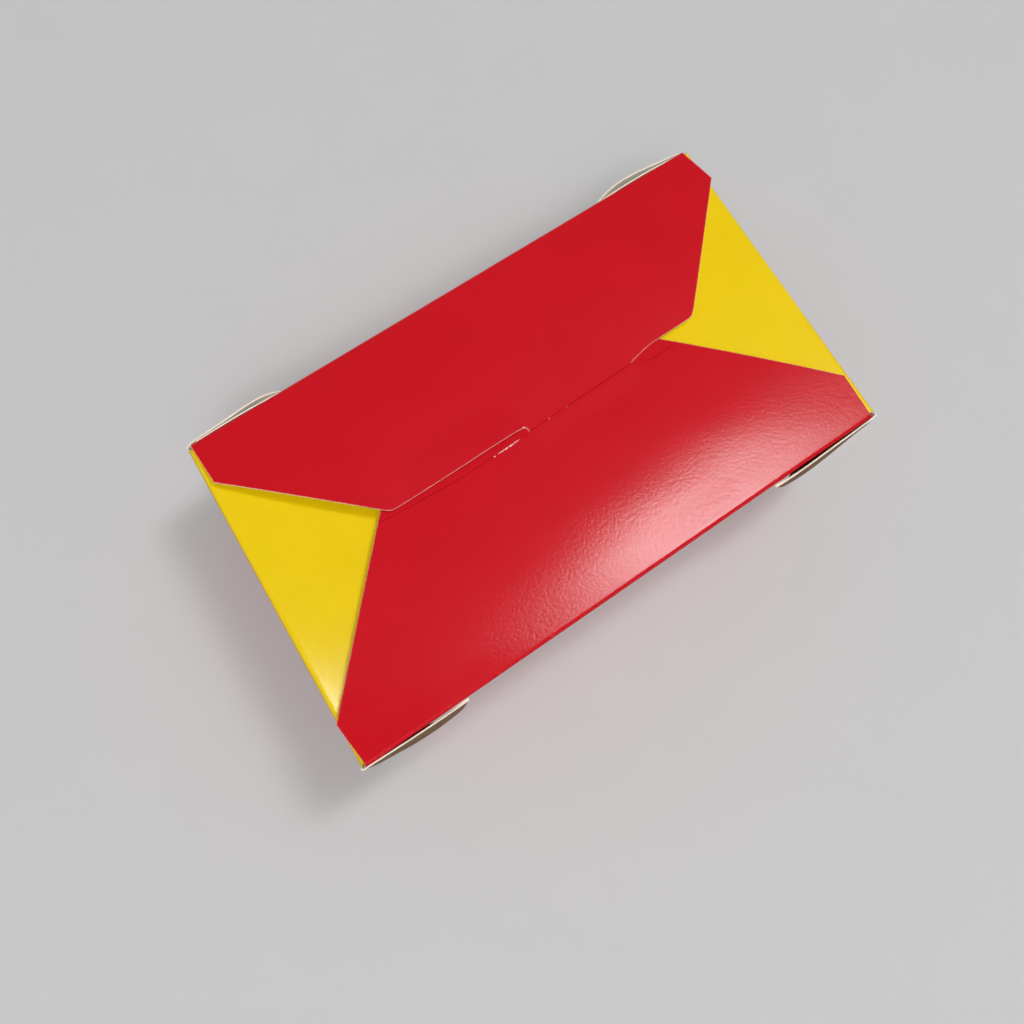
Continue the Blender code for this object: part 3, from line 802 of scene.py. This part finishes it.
def web_grid(end, side, length, off, swell, peak, start_drop, end_drop, pressed, tuck, sunk):
    """Printed face of a folded web, row by row from the base corner to the top edge.

    In each row the path starts on the end wall, turns the corner on a quarter circle, follows the
    outer ply to the diagonal, turns back on a half circle, and follows the inner ply to the corner.
    The outer ply leaves the corner flush, stands off by an arch that is highest at the share peak of
    its way, and swells below the top edge. The inner ply lies on the wall, or is pressed to the outer
    one. The top edge drops by start_drop at the corner and by end_drop at its free end. It is tucked
    in by tuck * (1 - share)^2, and the inner ply's edge lies lower than the outer one's by sunk.
    """
    rows = web_rows()
    outset, z = rows[:, :1], rows[:, 1:]
    r = z / (HEIGHT - WEB_TOP_GAP)
    reach = np.maximum(length * r, WEB_LEAST)
    bend_power = math.log(0.5) / math.log(peak)

    def outer_face(along):
        """Stand-off of the outer ply: plies + arch * (off - plies) + swell - tuck."""
        s = np.clip(along / reach, 0.0, 1.0)
        plies = ONE_PLY_OFF + (TWO_PLIES_OFF - ONE_PLY_OFF) * np.minimum(1.0, PLIES_RISE * r)
        past_corner = smoothstep(along / CORNER_RUN)
        plies = CORNER_OFF + (plies - CORNER_OFF) * past_corner
        arch = np.sin(math.pi * (ARCH_START + ARCH_SPAN * s**bend_power)) * np.minimum(1.0, ARCH_RISE * r)
        tucked = tuck * (1 - s) ** 2 * past_corner * smoothstep((r - TUCK_FROM) / (1 - TUCK_FROM))
        swollen = swell * np.sin(SWELL_TURN * s) * np.sin(math.pi * r**SWELL_RISE)
        return plies + arch * (off - plies) + swollen - tucked

    bend = BOARD + PLY_GAP / 2
    corner, ply, turn, back = [np.linspace(0.0, 1.0, steps + 1)[None, :] for steps in WEB_COLUMNS]
    first = outer_face(CORNER_RADIUS)
    angle = corner * math.pi / 2
    corner_a = CORNER_RADIUS * (1 - np.cos(angle)) + 0.0 * r
    corner_n = first - CORNER_RADIUS + CORNER_RADIUS * np.sin(angle)
    last = np.maximum(reach - bend, CORNER_RADIUS + PLY_LEAST)
    ply_a = CORNER_RADIUS + (last - CORNER_RADIUS) * ply[:, 1:]
    ply_n = outer_face(ply_a)
    angle = turn[:, 1:] * math.pi
    turn_a = last + bend * np.sin(angle)
    turn_n = outer_face(last) - bend + bend * np.cos(angle)
    start = np.minimum(INNER_START, INNER_START_MOST * last)
    back_a = last + (start - last) * back[:, 1:]
    on_wall = WALL_GAP + (turn_n[:, -1:] - WALL_GAP) * (back_a / last) ** 2
    on_ply = np.maximum(outer_face(back_a) - 2 * bend, WALL_GAP)
    back_n = (1 - pressed) * on_wall + pressed * on_ply

    along = np.concatenate((corner_a, ply_a, turn_a, back_a), axis=1)
    stand = np.concatenate((corner_n, ply_n, turn_n, back_n), axis=1)
    s = np.clip(along / reach, 0.0, 1.0)
    outer_columns = np.zeros(along.shape[1] - WEB_COLUMNS[-1])
    inner = np.concatenate((outer_columns, smoothstep(back[0, 1:] / SUNK_RUN)))
    height = z - (start_drop * (1 - s) ** 4 + end_drop * s**4 + sunk * inner) * r**4
    share = np.maximum(along, 0.0) / LENGTH
    stand = stand + WALL_BOW * np.sin(math.pi * z / HEIGHT) * 4 * share * (1 - share)
    y = side * (WIDTH / 2 + outset + stand)
    x = end * (LENGTH / 2 + END_OUT[end] * smoothstep(z / HEIGHT) + outset - along) + rack_shift(y, z)
    return np.stack((x, y, height + 0.0 * x), axis=-1)


web_grids = {name: web_grid(**sizes) for name, sizes in WEBS.items()}
for name, grid in web_grids.items():
    web = board_piece(
        name + "_web",
        [grid],
        (bare_outside, white_inside, cut_edge),
        cut_lines=[grid[-1]],
    )
    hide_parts("carton")


# The end walls and end flaps. Each end wall is red and leans in like the long ones. Its flap is
# printed yellow from the fold on, is folded in first, and sinks from its fold under the long flaps.
# The left fold itself sags towards the near corner.
END_FOLD_DROP = {-1: 0.0010, 1: 0.0004}
END_FOLD_SAG = {-1: 0.0030, 1: 0.0}
END_FLAP_SINK = {-1: 0.0034, 1: 0.0009}
END_SINK_EASE = 0.020
END_FLAP_DEPTH = 0.050
END_FLAP_MARGIN = 0.0013
END_FLAP_TAPER = math.radians(18.0)
END_COLUMNS = 90
END_ROWS = 44
END_SEED = 37
PRINT_CHANGE = WALL_END + 3
END_FOLD_ROW = PRINT_CHANGE + 2
PRINT_YELLOW = (0.86, 0.60, 0.002, 1.0)

yellow_coat = print_material("yellow_coat", PRINT_YELLOW, EDGE_CREAM)


def fold_sag(end, y):
    """How far the end fold lies lower at y: with the square of the way past the quarter line."""
    return END_FOLD_SAG[end] * np.clip((WIDTH / 8 - y) / (WIDTH * 5 / 8), 0.0, 1.0) ** 2


def end_grids(end, near_web, far_web):
    """End wall and end flap. The wall runs between the first columns of its two webs. The flap
    tapers inwards and sinks by sink * (1 - exp(-depth / ease))."""
    sink = END_FLAP_SINK[end]
    section = wall_section(HEIGHT - END_FOLD_DROP[end], -sink / END_SINK_EASE)
    outset, z = section[:, :1], section[:, 1:]
    outset = outset + END_OUT[end] * smoothstep(z / HEIGHT)
    turn = np.clip((np.arange(len(z)) - WALL_END) / (len(z) - 1 - WALL_END), 0.0, 1.0)[:, None]
    rows = np.minimum(np.arange(len(z)), WALL_END)
    low = near_web[rows, :1, 1] * (1 - turn) - (WIDTH / 2 - END_FLAP_MARGIN) * turn
    high = far_web[rows, :1, 1] * (1 - turn) + (WIDTH / 2 - END_FLAP_MARGIN) * turn
    t = np.linspace(0.0, 1.0, END_COLUMNS + 1)[None, :]
    y = low + (high - low) * t
    bow = WALL_BOW * np.sin(math.pi * z / HEIGHT) * 4 * t * (1 - t)
    x = end * (LENGTH / 2 + outset + bow) + rack_shift(y, z)
    wall = np.stack((x, y, z - fold_sag(end, y) * (z / HEIGHT) ** 2), axis=-1)
    d = np.linspace(0.0, END_FLAP_DEPTH, END_ROWS + 1)[:, None]
    y = (2 * t - 1) * (WIDTH / 2 - END_FLAP_MARGIN - d * math.tan(END_FLAP_TAPER))
    height = z[-1] - sink * (1 - np.exp(-d / END_SINK_EASE)) - fold_sag(end, y) + wander(y, d, END_SEED + end)
    x = end * (LENGTH / 2 + outset[-1] - d) + rack_shift(y, HEIGHT)
    flap = np.stack((x, y, height), axis=-1)
    flap[0] = wall[-1]
    return wall, flap


for end, word in ((-1, "left"), (1, "right")):
    wall, flap = end_grids(end, web_grids["near_" + word], web_grids["far_" + word])
    end_wall = board_piece(
        word + "_end_wall",
        [wall[: PRINT_CHANGE + 1]],
        (red_coat, white_inside, cut_edge),
        fold_lines=[wall[PRINT_CHANGE]],
    )
    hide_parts("carton")
    end_flap = board_piece(
        word + "_end_flap",
        [wall[PRINT_CHANGE:], flap],
        (yellow_coat, white_inside, cut_edge),
        cut_lines=[np.concatenate((flap[:, 0], flap[-1], flap[::-1, -1]))],
        fold_lines=[wall[END_FOLD_ROW]],
    )
    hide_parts("carton")


# The table. A plain pale sheet, wide enough to fill the view from any side, with a faint mottle.
TABLE_HALF = 4.0
TABLE_GREY = (0.60, 0.60, 0.60, 1.0)
TABLE_SHADE = (0.585, 0.585, 0.585, 1.0)
MATTE_ROUGHNESS = 0.9
MATTE_SPECULAR = 0.1
MOTTLE_SCALE = 30.0


def flat_sheet(name, outline, material):
    """Flat sheet, as one face with the given corners, kept as part of the studio."""
    mesh = bpy.data.meshes.new(name)
    mesh.from_pydata(outline, [], [tuple(range(len(outline)))])
    mesh.materials.append(material)
    sheet = bpy.data.objects.new(name, mesh)
    bpy.context.scene.collection.objects.link(sheet)
    return sheet


def matte_material(name, colour, shade):
    """Matte paint, with a mottle of two close greys."""
    material = bpy.data.materials.new(name)
    material.use_nodes = True
    tree = material.node_tree
    shader = tree.nodes["Principled BSDF"]
    shader.inputs["Roughness"].default_value = MATTE_ROUGHNESS
    shader.inputs["Specular IOR Level"].default_value = MATTE_SPECULAR
    on = place(tree, "ShaderNodeTexCoord", {}).outputs["Object"]
    mottle = noise(tree, on, MOTTLE_SCALE, CLOUD_DETAIL)
    tree.links.new(blend(tree, mottle, colour, shade), shader.inputs["Base Color"])
    return material


table_corners = [(x * TABLE_HALF, y * TABLE_HALF, 0.0) for x, y in ((-1, -1), (1, -1), (1, 1), (-1, 1))]
flat_sheet("table", table_corners, matte_material("table_paint", TABLE_GREY, TABLE_SHADE))


# The light. A long soft lamp high over the right-hand end, whose reflection is the sheen along the
# near fold, a broad fill over the near left side, and an even dim room. A dark card above the camera
# is only mirrored, in the near left corner of the lid: it shades nothing.
KEY_LAMP = dict(towards=(0.365, -0.04, 1.0), away=3.0, half=1.3, long=0.41, broad=0.255, strength=27.5)
NEAR_FILL = dict(towards=(-0.30, -0.42, 1.0), away=2.6, half=1.3, long=0.60, broad=0.42, strength=14.0)
LAMP_FALLOFF = 2.4
LAMP_ROUND = 2.0
ROOM_GREY = 0.24
ROOM_WHITE = (1.0, 1.0, 1.0, 1.0)
CARD_HEIGHT = 0.420
CARD_CORNERS = (
    (-0.130, 0.024), (-0.042, -0.057), (-0.013, -0.038), (0.023, -0.069), (-0.090, -0.260), (-0.260, -0.140),
)
CARD_BLACK = (0.02, 0.02, 0.02, 1.0)


def lamp(name, towards, away, half, long, broad, strength):
    """Square sheet of glowing gauze that faces the box. It glows with strength *
    exp(-(a / long)^falloff - (b / broad)^2) at the distances a and b from its middle, and lets light by."""
    direction = Vector(towards).normalized()
    middle = direction * away
    along = (Vector((1, 0, 0)) - direction * direction.x).normalized()
    across = direction.cross(along)
    material = bpy.data.materials.new(name)
    material.use_nodes = True
    tree = material.node_tree
    tree.nodes.remove(tree.nodes["Principled BSDF"])
    on = place(tree, "ShaderNodeTexCoord", {}).outputs["Object"]
    power = 0.0
    for axis, width, order in ((along, long, LAMP_FALLOFF), (across, broad, LAMP_ROUND)):
        place_on = place(tree, "ShaderNodeVectorMath", {0: on, 1: tuple(axis)}, operation="DOT_PRODUCT")
        offset = reckon(tree, "SUBTRACT", place_on.outputs["Value"], middle.dot(axis))
        ratio = reckon(tree, "DIVIDE", offset, width)
        power = reckon(tree, "SUBTRACT", power, reckon(tree, "POWER", reckon(tree, "ABSOLUTE", ratio), order))
    glow = reckon(tree, "MULTIPLY", reckon(tree, "EXPONENT", power), strength)
    emission = place(tree, "ShaderNodeEmission", {"Strength": glow})
    gauze = place(tree, "ShaderNodeBsdfTransparent", {})
    both = place(tree, "ShaderNodeAddShader", {0: emission.outputs[0], 1: gauze.outputs[0]})
    tree.links.new(both.outputs[0], tree.nodes["Material Output"].inputs["Surface"])
    corners = [middle + (along * i + across * j) * half for i, j in ((-1, -1), (1, -1), (1, 1), (-1, 1))]
    flat_sheet(name, corners, material)


lamp("key_lamp", **KEY_LAMP)
lamp("near_fill", **NEAR_FILL)
card_corners = [(x, y, CARD_HEIGHT) for x, y in CARD_CORNERS]
dark_card = flat_sheet("dark_card", card_corners, matte_material("card_black", CARD_BLACK, CARD_BLACK))
dark_card.visible_diffuse = False
dark_card.visible_shadow = False

world = bpy.data.worlds.new("room")
world.use_nodes = True
world.node_tree.nodes["Background"].inputs["Color"].default_value = ROOM_WHITE
world.node_tree.nodes["Background"].inputs["Strength"].default_value = ROOM_GREY
bpy.context.scene.world = world
bpy.context.scene.view_settings.view_transform = "Standard"


# The camera. Hand-held over the near left corner, looking almost straight down, and turned so that
# the box lies askew in a square picture.
CAMERA_PLACE = (-0.09941, -0.09312, 0.39599)
CAMERA_RIGHT = Vector((0.816468, -0.574691, 0.055760))
CAMERA_LOOK = Vector((0.214720, 0.212563, -0.953264))
CAMERA_LENS = 39.585
SENSOR = 36.0
CLIP_START = 0.01

camera_data = bpy.data.cameras.new("camera")
camera_data.sensor_width = SENSOR
camera_data.lens = CAMERA_LENS
camera_data.clip_start = CLIP_START
camera = bpy.data.objects.new("camera", camera_data)
turned = Matrix((CAMERA_RIGHT, CAMERA_RIGHT.cross(CAMERA_LOOK), -CAMERA_LOOK)).transposed()
camera.matrix_world = Matrix.Translation(CAMERA_PLACE) @ turned.to_4x4()
bpy.context.scene.collection.objects.link(camera)
bpy.context.scene.camera = camera
